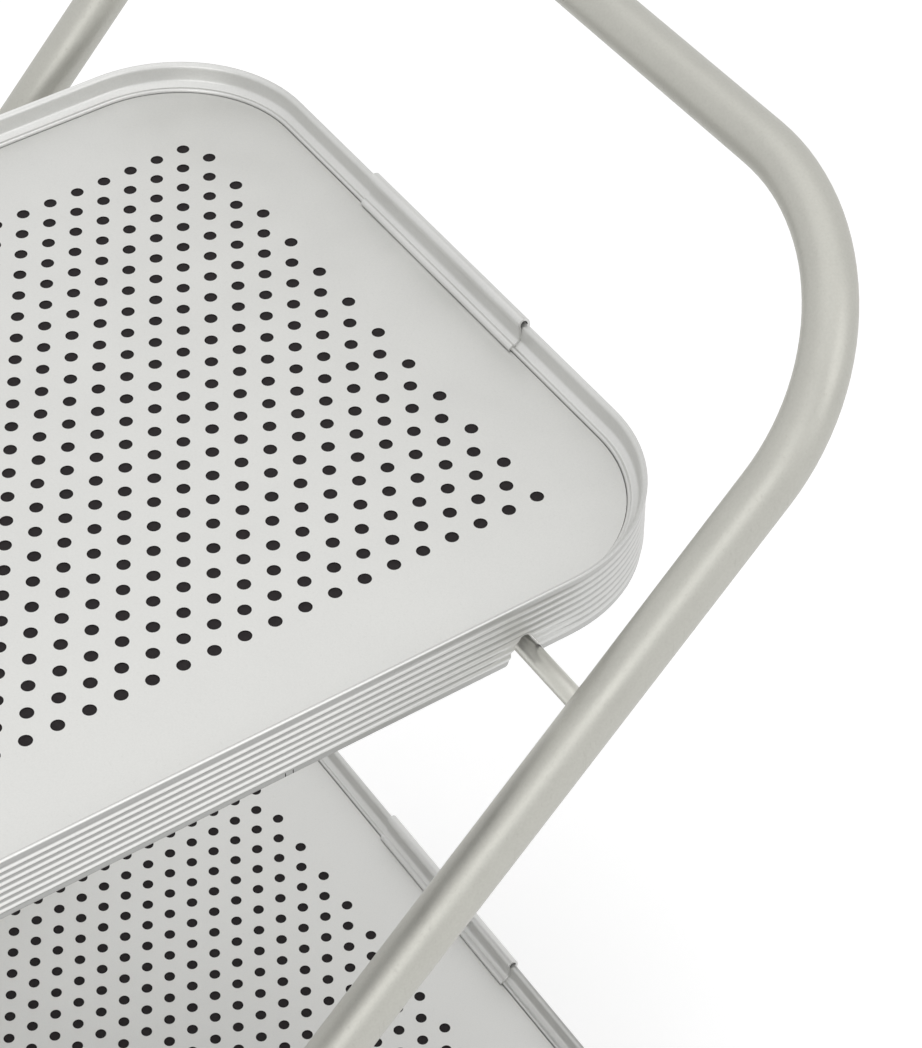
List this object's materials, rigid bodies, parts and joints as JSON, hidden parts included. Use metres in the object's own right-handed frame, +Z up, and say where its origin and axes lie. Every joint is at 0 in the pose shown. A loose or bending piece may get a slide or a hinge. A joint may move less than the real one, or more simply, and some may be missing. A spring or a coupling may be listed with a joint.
{
  "type": "folding serving trolley",
  "caption": "Folding serving trolley with crossed tube frames, a handle at each end, perforated trays in ribbed rims one above the other, and swivelling casters.",
  "frame": {"origin": "on the floor at the middle of the footprint of the open trolley", "axes": "+Z up, +Y to the rear, where the outer frame's handle is, +X to the right seen from the front"},
  "size_m": [0.498, 0.759, 0.7625],
  "materials": {
    "frame_tube": "satin silver-champagne lacquer",
    "rod_and_rivet_steel": "satin plated steel",
    "rim_aluminium": "satin rolled aluminium with fine ribs",
    "tray_sheet": "matt light grey perforated sheet",
    "dark_board": "dark charcoal board under the perforated sheet",
    "dark_plastic": "moulded black plastic",
    "caster_steel": "plated pressed steel",
    "tyre_rubber": "matt grey-black rubber"
  },
  "bodies": {
    "outer_frame": {"outer_frame_tube": "frame_tube", "upper_rear_rod": "rod_and_rivet_steel", "lower_front_rod": "rod_and_rivet_steel", "pivot_rivet_left": "rod_and_rivet_steel", "pivot_rivet_right": "rod_and_rivet_steel", "pivot_washer_left": "dark_plastic", "pivot_washer_right": "dark_plastic", "caster_socket_front_left": "dark_plastic", "caster_socket_front_right": "dark_plastic"},
    "inner_frame": {"inner_frame_tube": "frame_tube", "lower_rear_rod": "rod_and_rivet_steel", "upper_front_rod": "rod_and_rivet_steel", "caster_socket_rear_left": "dark_plastic", "caster_socket_rear_right": "dark_plastic"},
    "upper_tray": {"upper_tray_sheet": "tray_sheet", "upper_tray_board": "dark_board", "upper_rim": "rim_aluminium", "upper_rim_sleeve": "rim_aluminium", "upper_hinge_block_left": "dark_plastic", "upper_hinge_block_right": "dark_plastic", "upper_hook_block_left": "dark_plastic", "upper_hook_block_right": "dark_plastic"},
    "lower_tray": {"lower_tray_sheet": "tray_sheet", "lower_tray_board": "dark_board", "lower_rim": "rim_aluminium", "lower_rim_sleeve": "rim_aluminium", "lower_hinge_block_left": "dark_plastic", "lower_hinge_block_right": "dark_plastic", "lower_hook_block_left": "dark_plastic", "lower_hook_block_right": "dark_plastic"},
    "caster_front_left": {"caster_fork_front_left": "caster_steel", "axle_front_left": "caster_steel"},
    "wheel_front_left": {"wheel_hub_front_left": "dark_plastic", "tyre_front_left": "tyre_rubber"},
    "caster_front_right": {"caster_fork_front_right": "caster_steel", "axle_front_right": "caster_steel"},
    "wheel_front_right": {"wheel_hub_front_right": "dark_plastic", "tyre_front_right": "tyre_rubber"},
    "caster_rear_left": {"caster_fork_rear_left": "caster_steel", "axle_rear_left": "caster_steel"},
    "wheel_rear_left": {"wheel_hub_rear_left": "dark_plastic", "tyre_rear_left": "tyre_rubber"},
    "caster_rear_right": {"caster_fork_rear_right": "caster_steel", "axle_rear_right": "caster_steel"},
    "wheel_rear_right": {"wheel_hub_rear_right": "dark_plastic", "tyre_rear_right": "tyre_rubber"}
  },
  "joints": [
    {"name": "fold", "type": "hinge", "parent": "outer_frame", "child": "inner_frame", "pos_m": [0, 0, 0.36721], "axis": [-1, 0, 0], "range_deg": [0, 50]},
    {"name": "upper_tray_swing", "type": "hinge", "parent": "inner_frame", "child": "upper_tray", "pos_m": [0, -0.21969, 0.59629], "axis": [1, 0, 0], "range_deg": [0, 110.5]},
    {"name": "lower_tray_tilt", "type": "hinge", "parent": "outer_frame", "child": "lower_tray", "pos_m": [0, -0.21969, 0.13812], "axis": [1, 0, 0], "range_deg": [0, 46]},
    {"name": "swivel_front_left", "type": "hinge", "parent": "outer_frame", "child": "caster_front_left", "pos_m": [-0.2345, -0.24466, 0.072], "axis": [0, 0, 1], "continuous": true},
    {"name": "roll_front_left", "type": "hinge", "parent": "caster_front_left", "child": "wheel_front_left", "pos_m": [-0.2345, -0.26266, 0.025], "axis": [1, 0, 0], "continuous": true},
    {"name": "swivel_front_right", "type": "hinge", "parent": "outer_frame", "child": "caster_front_right", "pos_m": [0.2345, -0.24466, 0.072], "axis": [0, 0, 1], "continuous": true},
    {"name": "roll_front_right", "type": "hinge", "parent": "caster_front_right", "child": "wheel_front_right", "pos_m": [0.2345, -0.26266, 0.025], "axis": [1, 0, 0], "continuous": true},
    {"name": "swivel_rear_left", "type": "hinge", "parent": "inner_frame", "child": "caster_rear_left", "pos_m": [-0.2095, 0.24466, 0.072], "axis": [0, 0, 1], "continuous": true},
    {"name": "roll_rear_left", "type": "hinge", "parent": "caster_rear_left", "child": "wheel_rear_left", "pos_m": [-0.2095, 0.22666, 0.025], "axis": [1, 0, 0], "continuous": true},
    {"name": "swivel_rear_right", "type": "hinge", "parent": "inner_frame", "child": "caster_rear_right", "pos_m": [0.2095, 0.24466, 0.072], "axis": [0, 0, 1], "continuous": true},
    {"name": "roll_rear_right", "type": "hinge", "parent": "caster_rear_right", "child": "wheel_rear_right", "pos_m": [0.2095, 0.22666, 0.025], "axis": [1, 0, 0], "continuous": true}
  ],
  "couplings": [
    {"joint": "upper_tray_swing", "follows": "fold", "ratio": 2.2}
  ]
}
